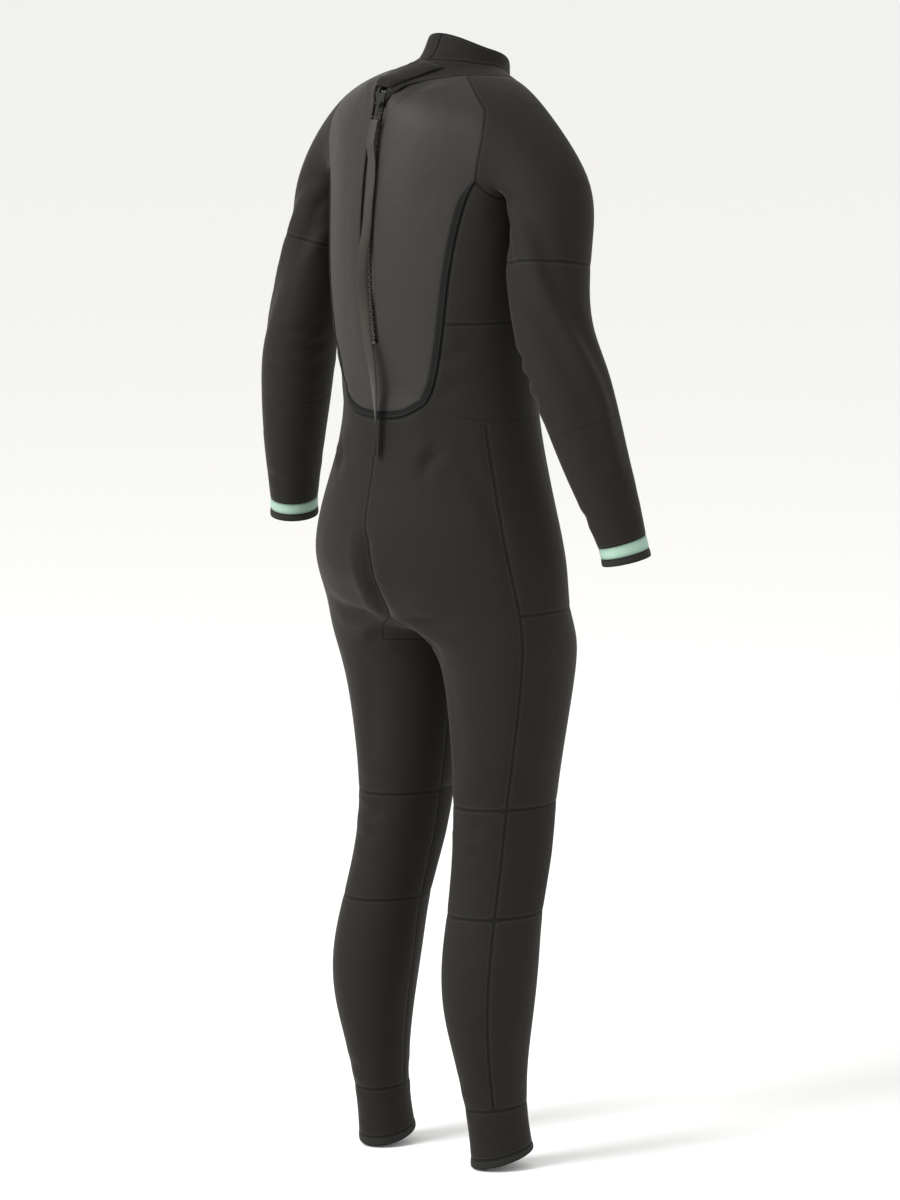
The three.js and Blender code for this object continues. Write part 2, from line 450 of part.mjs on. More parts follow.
// ---- slider and puller, built square and then set on the arc ----
const sS = sT - SLIDER_LENGTH / 2 - 0.5;
const place = (tris, s = sS) => tris.map((t) => t.map(([x, a, h]) => {
  const c = Math.cos(s / ZR), d = Math.sin(s / ZR), o = arcP(0, s, 0);
  return [x, o[1] + h * c - a * d, o[2] + h * d + a * c];
}));
const wasm = await Module();
wasm.setup();
const { Manifold } = wasm;
const block = (xa, xb, aa, ab, ha, hb) => Manifold.cube([xb - xa, ab - aa, hb - ha]).translate([xa, aa, ha]);
const rod = (r, half, a, h, seg) => Manifold.cylinder(2 * half, r, r, seg, true).rotate([0, 90, 0]).translate([0, a, h]);
function solidTris(m) {
  const { vertProperties: v, triVerts: t, numProp: n } = m.getMesh();
  const out = [];
  for (let i = 0; i < t.length; i += 3) out.push([0, 1, 2].map((k) => [0, 1, 2].map((d) => v[t[i + k] * n + d])));
  return out;
}
const W = SLIDER_WIDTH / 2, LH = SLIDER_LENGTH / 2, PIN_A = -LH + 3, PIN_H = 3, PIN_R = 0.8;
let slider = block(-W, W, -LH, LH, -1.2, 0.9);
for (const s of [1, -1]) {
  slider = slider.add(block(Math.min(s * (x1 + 0.6), s * W), Math.max(s * (x1 + 0.6), s * W), -LH, LH, toothLow + 0.3, -1));
  slider = slider.add(block(Math.min(s * 3.2, s * 4.8), Math.max(s * 3.2, s * 4.8), PIN_A - 2, PIN_A + 2, 0.7, PIN_H + 1.4));
}
slider = slider.add(rod(PIN_R, 3.4, PIN_A, PIN_H, 16));
meshFrom('zip_slider', 0x2a2a2b, 0.35, place(solidTris(slider)), 0.7);

// the puller hangs on the slider's pin and ends in a flat loop that takes the leash
const PW = PULL_WIDTH / 2, LOOP_W = LEASH_WIDTH / 2 + 2, END_A = PIN_A - PULL_LENGTH, PT = 0.7;
let puller = rod(1.8, 2.9, PIN_A, PIN_H, 20);
puller = puller.add(block(-2.2, 2.2, END_A + 8, PIN_A - 1.2, PIN_H - PT, PIN_H + PT));
puller = puller.add(block(-LOOP_W, LOOP_W, END_A, END_A + 9, PIN_H - PT, PIN_H + PT));
puller = puller.subtract(rod(1.1, 5, PIN_A, PIN_H, 20));
puller = puller.subtract(block(-LOOP_W + 1.5, LOOP_W - 1.5, END_A + 2.4, END_A + 6.8, 0, 8));
meshFrom('zip_puller', 0x2a2a2b, 0.4, place(solidTris(puller)), 0.6);

// ---- leash: one flat ribbon, through the puller's loop and down the back ----
const profile = [];
for (let r = 2; r <= 26; r++) { const p = skin.v[at('T', 1, r, 16)]; profile.push([p[1], p[2]]); }
const backY = (z) => {
  let i = 0;
  while (i < profile.length - 2 && profile[i + 1][1] < z) i++;
  const [a, b] = [profile[i], profile[i + 1]];
  return a[0] + (b[0] - a[0]) * (z - a[1]) / (b[1] - a[1]);
};
function ribbon(path, width, thick) {
  const rings = path.map(([x, y, z], i) => {
    const p = path[Math.max(0, i - 1)], q = path[Math.min(path.length - 1, i + 1)];
    const t = unit([0, q[1] - p[1], q[2] - p[2]]), n = [0, -t[2], t[1]];
    const e = (sx, sn) => [x + sx * width / 2, y + n[1] * sn * thick / 2, z + n[2] * sn * thick / 2];
    return [e(-1, -1), e(1, -1), e(1, 1), e(-1, 1)];
  });
  return loft(rings);
}
{
  const c = Math.cos(sS / ZR), d = Math.sin(sS / ZR), o = arcP(0, sS, 0);
  const local = (a, h) => [0, o[1] + h * c - a * d, o[2] + h * d + a * c];
  const path = [[END_A - 24, 1.3], [END_A - 10, 1.2], [END_A + 1.5, 1.15], [END_A + 3.4, 1.5], [END_A + 4.5, 3],
    [END_A + 3.4, 4.6], [END_A + 1.5, 4.9], [END_A - 6, 4.6], [END_A - 26, 4.4]].map((q) => local(...q));
  // from the puller it lies on the back as far as the zip's furthest point, then hangs nearly plumb
  let used = 0, last = path[path.length - 1];
  for (let i = 4; i < path.length; i++) used += Math.hypot(...sub(path[i], path[i - 1]));
  const sway = (z) => smooth(ARC[2], ARC[2] - 300 * ZS, z);
  const WANDER = [[1365, 0], [1300, -8], [1250, -6], [1175, 3], [1110, -3], [1045, -9], [900, -11]];
  const aside = (z) => {
    const i = Math.max(1, WANDER.findIndex(([h]) => h * ZS <= z));
    const [a, b] = z < WANDER[6][0] * ZS ? [WANDER[5], WANDER[6]] : [WANDER[i - 1], WANDER[i]];
    return a[1] + (b[1] - a[1]) * smooth(a[0] * ZS, b[0] * ZS, z);
  };
  let s = sS + END_A - 26;
  while (s - 24 > 0) {
    s -= 24;
    const p = arcP(0, s, 4.8);
    p[0] = aside(p[2]);
    used += Math.hypot(...sub(p, last)); path.push(p); last = p;
  }
  while (LEASH_LENGTH - used > 1) {
    const step = Math.min(24, LEASH_LENGTH - used), z = last[2] - step;
    const hang = ARC[1] + ZR + 5, near = backY(z) + 6, k = sway(z);
    const p = [aside(z), Math.max(near, hang + (near + 1 - hang) * k), z];
    const q = add(last, mul(unit(sub(p, last)), step));
    used += step; path.push(q); last = q;
  }
  meshFrom('pull_leash', 0x23211f, 0.7, ribbon(path, LEASH_WIDTH, LEASH_THICK));
}

// ---- flap over the top of the zip, with its hook patch, and the loop patch on the yoke ----
const yokePath = [22, 23, 24].map((r) => skin.v[at('T', 1, r, 16)]).map((p) => [p[1], p[2]]);
const seg = (i) => Math.hypot(yokePath[i + 1][0] - yokePath[i][0], yokePath[i + 1][1] - yokePath[i][1]);
const YL = [0, seg(0), seg(0) + seg(1)];
// distance up the yoke from its lower edge, height above it
function onYoke(u, h) {
  const i = u > YL[1] ? 1 : 0, a = yokePath[i], b = yokePath[i + 1], t = (u - YL[i]) / (YL[i + 1] - YL[i]);
  const e = unit([0, b[0] - a[0], b[1] - a[1]]), e2 = unit([0, yokePath[2][0] - yokePath[0][0], yokePath[2][1] - yokePath[0][1]]);
  const n = unit(add([0, e[2], -e[1]], [0, e2[2], -e2[1]]));
  return [0, a[0] + (b[0] - a[0]) * t + n[1] * h, a[1] + (b[1] - a[1]) * t + n[2] * h];
}
const plate = (us, hs, xa, xb, thick) => loft(us.map((u, i) => [[xa[i] ?? xa, 0], [xb, 0], [xb, thick], [xa[i] ?? xa, thick]]
  .map(([x, h]) => { const p = onYoke(u, hs[i] + h); return [x, p[1], p[2]]; })));
const U = YL[2];
meshFrom('loop_patch', 0x1a1917, 0.95, plate([U * 0.35, YL[1], U * 0.8], [0.4, 0.4, 0.4], -17, 19, 1));
meshFrom('hook_patch', 0x1a1917, 0.9, plate([U * 0.38, YL[1], U * 0.76], [1.75, 1.75, 1.75], -15, 17, 0.9));
meshFrom('collar_flap', BLACK2, 0.75, plate([-2, U * 0.16, U * 0.32, YL[1], U * 0.84, U * 0.94], [2.4, 3, 3, 3, 3, 0.6], [-16, -19, -22, -26, -33, -35], 24, FLAP_THICK));

export default suit;
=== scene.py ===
import math

import bmesh
import bpy
import numpy as np
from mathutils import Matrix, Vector, kdtree


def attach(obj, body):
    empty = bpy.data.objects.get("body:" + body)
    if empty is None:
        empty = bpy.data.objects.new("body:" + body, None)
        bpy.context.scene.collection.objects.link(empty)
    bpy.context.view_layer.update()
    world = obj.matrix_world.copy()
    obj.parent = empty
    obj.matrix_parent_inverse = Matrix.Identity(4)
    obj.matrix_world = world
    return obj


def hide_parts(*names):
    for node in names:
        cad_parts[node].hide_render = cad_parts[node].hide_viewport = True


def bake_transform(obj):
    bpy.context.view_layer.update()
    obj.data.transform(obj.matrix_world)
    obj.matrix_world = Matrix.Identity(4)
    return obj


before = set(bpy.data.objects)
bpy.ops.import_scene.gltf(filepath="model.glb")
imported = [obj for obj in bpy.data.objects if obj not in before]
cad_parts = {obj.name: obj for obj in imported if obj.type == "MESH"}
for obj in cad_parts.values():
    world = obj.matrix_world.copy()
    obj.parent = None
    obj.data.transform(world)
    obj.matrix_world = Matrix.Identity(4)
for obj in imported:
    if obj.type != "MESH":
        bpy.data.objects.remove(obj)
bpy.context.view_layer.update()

# ---- The view ----
# The suit is looked at from behind the wearer's right side, just above the level of the waist,
# through a long lens, so that sleeves and legs keep their true proportions.
az, el = math.radians(224), math.radians(9)
away = Vector((math.sin(az) * math.cos(el), -math.cos(az) * math.cos(el), math.sin(el)))
across = Vector((math.cos(az), math.sin(az), 0))
upward = across.cross(-away)
lens = bpy.data.cameras.new("long_lens")
lens.lens, lens.sensor_width, lens.clip_end = 228.7, 36, 100
camera = bpy.data.objects.new("camera", lens)
camera.location = Vector((0, 0.056, -0.696)) + across * 0.0171 - upward * 0.0052 + away * 10
camera.rotation_euler = (-away).to_track_quat("-Z", "Y").to_euler()
bpy.context.scene.collection.objects.link(camera)
bpy.context.scene.camera = camera
bpy.context.scene.view_settings.view_transform = "Standard"

# ---- The shape of the suit ----
# Neoprene panels have no shape until they are glued edge to edge over a body. One skin over that body is
# worked out first, in mm with z = 0 at the back of the ankle hems, and every panel is cut from it.
collar_foot = np.array([0, -56, 1436.0])
leg_rings = [  # height, centre x and y, half across, half fore-and-aft, toe-out turn, slope of the ring
    (3, 106, -14, 37, 44, 15, .28), (22, 106, -11, 34, 41, 15, .22), (72, 105, -3, 33, 42, 15, .10),
    (135, 105, 6, 41, 50, 15, 0), (200, 105, 12, 53, 63, 14, 0), (265, 103, 7, 58, 68, 13, 0),
    (330, 99, -6, 53, 66, 11, 0), (400, 93, -28, 52, 73, 9, 0), (470, 89, -36, 55, 74, 7, 0),
    (550, 91, -40, 66, 80, 5, 0), (630, 93, -42, 77, 90, 3, 0), (690, 96, -33, 89, 100, 0, 0)]
body_rings = [  # height at front, side and back, half width, depth to front and back, centre y
    (725, 735, 722, 190, 118, 112, -18), (790, 795, 785, 192, 120, 155, -14),
    (860, 860, 860, 172, 118, 146, -11), (925, 925, 925, 153, 112, 128, -11),
    (985, 985, 985, 141, 108, 120, -9), (1050, 1050, 1050, 143, 108, 122, -4),
    (1110, 1110, 1110, 148, 112, 126, 1), (1200, 1200, 1200, 150, 118, 129, 2),
    (1290, 1290, 1308, 152, 112, 128, -4), (1330, 1354, 1354, 160, 86, 138, -19),
    (1360, 1408, 1394, 148, 62, 138, -29), (1378, 1426, 1422, 106, 48, 132, -40),
    (1388, 1434, 1444, 58, 56, 58, -54), (1420, 1455, 1480, 54, 54, 52, -60)]
sleeve_rings = [  # centre x, y, height, half in-and-out, half fore-and-aft
    (197, -20, 1290, 46, 61), (202, -7, 1225, 43, 58), (209, 6, 1160, 43, 55), (226, 13, 1100, 43, 53),
    (247, 8, 1050, 46, 54), (262, -2, 990, 45, 50), (276, -12, 935, 40, 45), (288, -23, 890, 35, 40),
    (296, -31, 855, 31, 35), (300, -35, 835, 30, 33), (303, -38, 815, 31.5, 34.5)]
back_turn = {  # degrees that the two seam columns beside the back panel are turned, by ring
    2: (2, 1), 3: (9, 5), 4: (18, 9), 5: (8, 5), 6: (2, 1),
    7: (-3, -1), 8: (-15, -6), 9: (-13, -6), 10: (-14, -6), 11: (-11, -5)}
back_lift = {4: (20, 3), 8: (20, 6)}      # the panel's lower corners are rounded off, its side points raised
climb = {4: .5, 5: .62, 6: .66, 7: .42}   # how far the yoke's lower edge climbs toward the collar
fuller = {9: 1.05, 10: 1.2, 11: 1.12}     # the sleeve's cut toward the shoulder blade
LEG, BODY, SLEEVE = 0, 1, 2


def unit(a):
    return a / np.maximum(np.linalg.norm(a, axis=-1, keepdims=True), 1e-12)


def body_point(r, c):
    if r == 11 and c in climb:
        return tuple(np.array(ring_point(11, c)) * (1 - climb[c]) + np.array(ring_point(12, c)) * climb[c])
    return ring_point(r, c)


def ring_point(r, c):
    front, side, back, half, deep_f, deep_b, cy = body_rings[r]
    turn = math.radians(c * 22.5 + (back_turn.get(r, (0, 0))[c - 6] if c in (6, 7) else 0))
    s, k, swell = math.sin(turn), math.cos(turn), 6 / (4 + 2 * math.cos(math.radians(22.5)))
    lift = back_lift.get(r, (0, 0))[c - 6] if c in (6, 7) else 0
    return (0 if c in (0, 8) else half * s * swell, cy - (deep_f if k > 0 else deep_b) * k * swell,
            side + (front - side) * max(0, k) ** 1.5 + (back - side) * max(0, -k) ** 1.5 + lift)


def leg_point(r, c):
    z, cx, cy, a, b, turn, slope = leg_rings[r]
    al, th, swell = math.radians((c - 1) * 30), math.radians(turn), 6 / (4 + 2 * math.cos(math.radians(30)))
    u, v = a * math.sin(al) * swell, -b * math.cos(al) * swell
    return (cx + u * math.cos(th) - v * math.sin(th), cy + u * math.sin(th) + v * math.cos(th), z - v * slope)


def sleeve_point(r, c):
    at = np.array([ring[:3] for ring in sleeve_rings], float)
    run = unit(np.array([.45, 0, -1])) if r == 0 else unit(at[min(r + 1, 10)] - at[r - 1])
    inward = unit(np.array([-1, 0, 0]) + run * run[0])
    ahead = np.cross(run, inward)
    ahead = -ahead if ahead[1] > 0 else ahead
    ph, swell = math.radians(c * 30), 6 / (4 + 2 * math.cos(math.radians(30)))
    swell *= 1 + (fuller.get(c, 1) - 1) * max(0, 1 - max(0, r - 2) / 3)
    half_in, half_ahead = sleeve_rings[r][3:]
    return tuple(at[r] + swell * (half_in * math.cos(ph) * inward + half_ahead * math.sin(ph) * ahead))


points, faces, marks, known = [], [], [], {}


def corner(key, p):
    if key not in known:
        known[key] = len(points)
        points.append(p)
    return known[key]


for side in (1, -1):
    def mirrored(p):
        return (p[0] * side, p[1], p[2])

    def patch(ids, part, cells):
        faces.append(ids if side > 0 else ids[::-1])
        marks.append((part, side, cells if side > 0 else cells[::-1]))

    def on_body(r, c):
        return corner((BODY, r, c, 0 if c in (0, 8) else side), mirrored(body_point(r, c)))

    low_front, low_back = np.array(body_point(0, 0)), np.array(body_point(0, 8))
    rows = [[corner((LEG, r, c, side), mirrored(leg_point(r, c))) for c in range(12)] for r in range(12)]
    crotch = [corner(("crotch", i), (0, *(low_front * (1 - u) + low_back * u)[1:] - (0, dip)))
              for i, (u, dip) in enumerate(((.75, 22), (.5, 30), (.25, 18)))]
    rows.append([on_body(0, c) for c in range(9)] + crotch)
    for r in range(12):
        for c in range(12):
            d = (c + 1) % 12
            patch([rows[r][c], rows[r][d], rows[r + 1][d], rows[r + 1][c]], LEG,
                  [(r, c), (r, c + 1), (r + 1, c + 1), (r + 1, c)])
    for r in range(13):
        for c in range(8):
            if r not in (8, 9) or not 2 <= c < 6:
                patch([on_body(r, c), on_body(r, c + 1), on_body(r + 1, c + 1), on_body(r + 1, c)], BODY,
                      [(r, c), (r, c + 1), (r + 1, c + 1), (r + 1, c)])
    armhole = [(8, 4), (8, 3), (8, 2), (9, 2), (10, 2), (10, 3),
               (10, 4), (10, 5), (10, 6), (9, 6), (8, 6), (8, 5)]
    rows = [[on_body(*q) for q in armhole]]
    rows += [[corner((SLEEVE, r, c, side), mirrored(sleeve_point(r, c))) for c in range(12)]
             for r in range(11)]
    for r in range(11):
        for c in range(12):
            d = (c + 1) % 12
            patch([rows[r][c], rows[r + 1][c], rows[r + 1][d], rows[r][d]], SLEEVE,
                  [(r, c), (r + 1, c), (r + 1, c + 1), (r, c + 1)])
V, F = np.array(points, float), np.array(faces)
part = np.array([m[0] for m in marks])
flank = np.array([m[1] for m in marks])
Q = np.array([m[2] for m in marks], float)


def smoothed(V, F, part, flank, Q):
    """One Catmull-Clark step; a face keeps the row and column of its parent, doubled."""
    n, m = len(V), len(F)
    ends = np.stack([F, np.roll(F, -1, 1)], 2).reshape(-1, 2)
    lines, back, count = np.unique(np.sort(ends, 1), axis=0, return_inverse=True, return_counts=True)
    back = back.reshape(m, 4)
    centre = V[F].mean(1)
    middle = V[lines].mean(1)
    beside = np.zeros_like(middle)
    np.add.at(beside, back.ravel(), np.repeat(centre, 4, 0))
    rim = count == 1
    on_line = np.where(rim[:, None], middle, (2 * middle + beside) / 4)
    f_sum, valence, e_sum, rim_sum, rim_n = (np.zeros((n, k)) for k in (3, 1, 3, 3, 1))
    np.add.at(f_sum, F.ravel(), np.repeat(centre, 4, 0))
    np.add.at(valence, F.ravel(), 1)
    for k in (0, 1):
        np.add.at(e_sum, lines[:, k], middle)
        np.add.at(rim_sum, lines[rim, k], middle[rim])
        np.add.at(rim_n, lines[rim, k], 1)
    v = np.maximum(valence, 1)
    moved = np.where(rim_n > 0, (2 * V + rim_sum) / 4, (f_sum / v + 2 * e_sum / v + (v - 3) * V) / v)
    e = n + m + back
    f = np.stack([np.stack([F[:, k], e[:, k], n + np.arange(m), e[:, k - 1]], 1) for k in range(4)], 1)
    q = np.stack([np.stack([2 * Q[:, k], Q[:, k] + Q[:, (k + 1) % 4], Q.sum(1) / 2, Q[:, k] + Q[:, k - 1]], 1)
                  for k in range(4)], 1)
    return (np.vstack([moved, centre, on_line]), f.reshape(-1, 4), np.repeat(part, 4), np.repeat(flank, 4),
            q.reshape(-1, 4, 2))


def ease(a, b, x):
    t = np.clip((x - a) / (b - a), 0, 1)
    return t * t * (3 - 2 * t)


# the zip lies on one true arc, 700 mm in radius, which bends the middle of the back to it
arc_y, arc_z, arc_r, zip_low, zip_high = 131 - 700.0, 1205.0, 700.0, 1088.0, 1408.0


def lay_back_on_arc(V):
    mid = V[(abs(V[:, 0]) < .01) & (V[:, 1] > 60) & (V[:, 2] > 900) & (V[:, 2] < 1460)]
    mid = mid[mid[:, 2].argsort()]
    now = np.interp(V[:, 2], mid[:, 2], mid[:, 1])
    want = arc_y + np.sqrt(np.maximum(1, arc_r ** 2 - (V[:, 2] - arc_z) ** 2))
    w = ease(990, zip_low - 20, V[:, 2]) * (1 - ease(zip_high + 8, zip_high + 18, V[:, 2]))
    w = w * (1 - ease(24, 100, abs(V[:, 0])))
    w[(V[:, 1] < 40) | (V[:, 2] < 960) | (V[:, 2] > 1432)] = 0
    V = V.copy()
    V[:, 1] += w * (want - now)
    return V


V, F, part, flank, Q = smoothed(V, F, part, flank, Q)
V = lay_back_on_arc(V)
for _ in range(2):
    V, F, part, flank, Q = smoothed(V, F, part, flank, Q)
V = lay_back_on_arc(V)
fine = 4  # cells of the fine skin in one step of a panel's row or column
row, col = (Q[:, :, k].min(1) // fine for k in (0, 1))

# the back panel's lower corners are true rounds of about 45 mm
for s in (1, -1):
    hit = (part == BODY) & (flank == s)
    spots = {tuple(q): p for ids, qs in zip(F[hit], Q[hit]) for p, q in zip(ids, qs)}
    tip, toward = V[spots[(32, 48)]].copy(), V[spots[(44, 58)]]
    pull = unit(toward - tip)
    far = np.linalg.norm(V - tip, axis=1)
    V = V + pull * (15 * np.maximum(0, 1 - far / 50) ** 2)[:, None]

# the yoke's lower edge dips 40 mm along the back to the zip, and the green wrist bands are 15 mm deep
yoke_seam, yoke_dip, dip_half_width = 88, 40, 62
spots_row = np.zeros(len(V))
spots_part = np.full(len(V), -1)
for k in range(4):
    spots_row[F[:, k]], spots_part[F[:, k]] = Q[:, k, 0], part
mid = V[[spots[(r, 64)] for r in range(60, 97)]][:, 1:]
mid_run = np.concatenate([[0], np.cumsum(np.linalg.norm(np.diff(mid, axis=0), axis=1))])
up_mid = np.interp(spots_row, range(60, 97), mid_run)
off_seam = up_mid - mid_run[yoke_seam - 60]
slide = np.maximum(0, 1 - abs(V[:, 0]) / dip_half_width) ** 1.3
slide = slide * np.where(off_seam < 0, ease(-95, 0, off_seam), 1 - ease(0, 62, off_seam))
slide[(spots_part != BODY) | (V[:, 1] < 0)] = 0
for k in (0, 1):
    down, here = np.interp(up_mid - yoke_dip * slide, mid_run, mid[:, k]), np.interp(up_mid, mid_run, mid[:, k])
    V[:, k + 1] += down - here
near_band = np.where(spots_part == SLEEVE, np.maximum(0, 1 - abs(spots_row - 76) / 8), 0)
V += near_band[:, None] * np.stack([np.sign(V[:, 0]) * .9, np.full(len(V), -.7), np.full(len(V), -5.)], 1)


def skin_normals(V):
    n = np.zeros_like(V)
    across = np.cross(V[F[:, 2]] - V[F[:, 0]], V[F[:, 3]] - V[F[:, 1]])
    np.add.at(n, F.ravel(), np.repeat(across, 4, 0))
    return unit(n)


N = skin_normals(V)
# drag lines and creases, as the foam folds where arms and legs hang: points along each, depth, width
creases = (
    ([(150, 42, 1262), (172, 52, 1235), (190, 55, 1200), (205, 58, 1150)], 2.2, 9),
    ([(158, 30, 1290), (185, 47, 1278), (215, 54, 1262)], 1.8, 9),
    ([(168, 20, 1240), (180, 42, 1215), (196, 56, 1175)], 1.6, 8),
    ([(178, 58, 1285), (212, 60, 1235), (240, 57, 1185), (275, 28, 1093),
      (300, 7, 1028), (325, -13, 880)], -3.4, 12),
    ([(196, 62, 1290), (232, 62, 1225), (262, 50, 1165), (285, 26, 1110)], 1.8, 13),
    ([(192, 20, 1090), (205, 52, 1078), (232, 68, 1072)], 1.8, 8),
    ([(196, 10, 1062), (215, 50, 1052), (245, 66, 1060)], 2, 8),
    ([(205, 0, 1035), (228, 46, 1022), (258, 58, 1030)], 1.5, 8),
    ([(190, -30, 1100), (215, -48, 1088), (245, -42, 1085)], 1.6, 9),
    ([(205, -38, 1050), (235, -52, 1046), (270, -40, 1052)], 1.8, 9),
    ([(255, -50, 905), (285, -64, 898), (312, -48, 905)], 1.2, 8),
    ([(262, -10, 878), (285, 14, 868), (310, 8, 872)], 1.3, 7),
    ([(104, 96, 958), (88, 108, 940), (70, 118, 915)], 4.2, 8),
    ([(118, 74, 1040), (100, 96, 1020), (80, 108, 1012)], 1.4, 9),
    ([(126, 60, 1090), (112, 82, 1072), (92, 100, 1066)], 1.2, 9),
    ([(0, 140, 850), (0, 142, 800), (0, 120, 745), (0, 90, 715)], 4.5, 10),
    ([(14, 96, 712), (45, 108, 704), (85, 104, 712), (120, 84, 730)], 3.4, 11),
    ([(10, 70, 700), (35, 84, 676), (60, 86, 655)], 1.8, 9),
    ([(60, 44, 486), (90, 48, 480), (125, 36, 486)], 2.2, 9),
    ([(54, 40, 452), (90, 44, 444), (124, 30, 450)], 2.6, 9),
    ([(58, 46, 418), (92, 50, 412), (126, 36, 420)], 1.6, 8),
    ([(62, 60, 376), (94, 62, 372), (128, 48, 380)], 1.2, 9),
    ([(80, 40, 108), (104, 48, 100), (130, 36, 106)], 1.5, 8),
    ([(78, 36, 78), (104, 46, 72), (132, 34, 78)], 1.2, 7),
    ([(72, -30, 92), (90, -50, 84), (122, -44, 90)], 1.3, 8),
    ([(52, -100, 420), (90, -112, 412), (130, -96, 420)], 1.3, 9),
    ([(40, 128, 640), (62, 118, 560), (70, 90, 500)], 1, 12),
    ([(128, 84, 960), (140, 60, 900), (152, 40, 830), (156, 30, 740)], 1, 10))
on_skin = kdtree.KDTree(len(V))
for i, p in enumerate(V):
    on_skin.insert(p, i)
on_skin.balance()
for line, depth, width in creases:
    ends = np.array(line, float)
    steps = np.concatenate([np.linspace(a, b, 12) for a, b in zip(ends[:-1], ends[1:])])
    steps = np.array([on_skin.find(p)[0] for p in steps])
    steps = np.array([steps[max(0, i - 3):i + 4].mean(0) for i in range(len(steps))])
    fade = np.sin(np.linspace(.12, np.pi - .12, len(steps)))
    for s in (1, -1):
        hit = np.nonzero((abs(V - steps.mean(0) * (s, 1, 1)).max(1) < 190) & (V[:, 0] * s > -12))[0]
        gap = np.linalg.norm(V[hit][:, None] - (steps * (s, 1, 1))[None], axis=2)
        which, off = gap.argmin(1), gap.min(1)
        valley, shoulder = np.exp(-(off / width) ** 2), np.exp(-((off - 2 * width) / width) ** 2)
        bend = 1.8 * fade[which] * (valley - .35 * shoulder)
        V[hit] -= N[hit] * (depth * bend)[:, None]
N = skin_normals(V)

# these joins lie flat: glued and welded, with no stitches on the outside
flush = np.zeros(len(V), bool)
for k in range(4):
    flush[F[(part == SLEEVE) & (Q[:, k, 0] == 12 * fine), k]] = True
    flush[F[(part == BODY) & (Q[:, k, 0] == 8 * fine) & (Q[:, k, 1] <= 12 * fine), k]] = True

# the zip's slot, the yoke and the collar are open down the middle of the back, so the skin is parted there
SLOT = 12.0                                           # half the width of the slot where the zip shows
parted = {}
for i in np.nonzero((part == BODY) & (flank < 0))[0]:
    for k in range(4):
        if Q[i, k, 1] == 16 * fine and Q[i, k, 0] > 11 * fine:
            parted.setdefault(F[i, k], len(V) + len(parted))
            F[i, k] = parted[F[i, k]]
twins = np.array(list(parted))
V, N, flush = np.vstack([V, V[twins]]), np.vstack([N, N[twins]]), np.concatenate([flush, flush[twins]])
grid_row, grid_col, grid_side = (np.zeros(len(V)) for _ in range(3))
on_trunk = part == BODY
for k in range(4):
    grid_row[F[on_trunk, k]], grid_col[F[on_trunk, k]] = Q[on_trunk, k, 0], Q[on_trunk, k, 1]
    grid_side[F[on_trunk, k]] = flank[on_trunk]


def opened(half):
    """The skin with its middle drawn apart to half each side from the foot of the zip up."""
    out = V.copy()
    gap = half * ease(11 * fine, 11 * fine + 1, grid_row)
    near = (grid_row > 11 * fine) & (grid_col > 0) & (abs(V[:, 0]) < 40) & (V[:, 1] > -20)
    out[near, 0] = (grid_side * (gap + abs(V[:, 0]) * (40 - gap) / 40))[near]
    return out


# ---- Panels ----
# Every panel is 4 mm neoprene foam with a knitted face, cut flat, glued edge to edge with its neighbours and
# blind-stitched. The edge is drawn down a little into the seam, and a fine line of stitches runs beside it.
WALL, GAP = 4.0, .18


def seam_rim(which, at, open_ends=True):
    """The edge of a set of faces: its lines, and at each of its points the way in from the edge."""
    lines = np.stack([F[which], np.roll(F[which], -1, 1)], 2).reshape(-1, 2)
    there = set(map(tuple, lines))
    rim = [(a, b) for a, b in there if (b, a) not in there]
    rim.sort()
    inward = {}
    for a, b in rim:
        run = unit(at[b] - at[a])
        for p in (a, b):
            inward.setdefault(p, []).append(unit(np.cross(N[p], run)))
    way = {}
    for p, m in inward.items():
        s = np.sum(m, 0)
        way[p] = s / max(.5, 1 + m[0] @ m[-1]) if len(m) == 2 else unit(s)
    return rim, way


def walk(rim):
    """Runs of the edge in order."""
    after = dict(rim)
    starts = [a for a in after if a not in set(after.values())] or []
    runs, left = [], dict(after)
    while left:
        a = next((s for s in starts if s in left), None) or min(left)
        run = [a]
        while a in left:
            a = left.pop(a)
            run.append(a)
        runs.append(run)
    return runs


def solid(name, verts, quads, uv=None):
    """A mesh object from points in mm, at the origin, with its place in its mesh."""
    mesh = bpy.data.meshes.new(name)
    mesh.from_pydata(((np.asarray(verts) - collar_foot) / 1000).tolist(), [], [list(q) for q in quads])
    if uv is not None:
        layer = mesh.uv_layers.new(name="seam")
        loops = np.zeros(len(mesh.loops), int)
        mesh.loops.foreach_get("vertex_index", loops)
        layer.data.foreach_set("uv", np.asarray(uv)[loops].astype(np.float32).ravel())
    face_outward(mesh)
    obj = bpy.data.objects.new("v_" + name, mesh)
    bpy.context.scene.collection.objects.link(obj)
    bpy.ops.object.select_all(action="DESELECT")
    obj.select_set(True)
    bpy.context.view_layer.objects.active = obj
    bpy.ops.object.shade_smooth_by_angle(angle=math.radians(50))
    return obj


def face_outward(mesh):
    """Turns a closed mesh's faces outward."""
    shape = bmesh.new()
    shape.from_mesh(mesh)
    if shape.calc_volume(signed=True) < 0:
        bmesh.ops.reverse_faces(shape, faces=shape.faces)
    shape.to_mesh(mesh)
    shape.free()


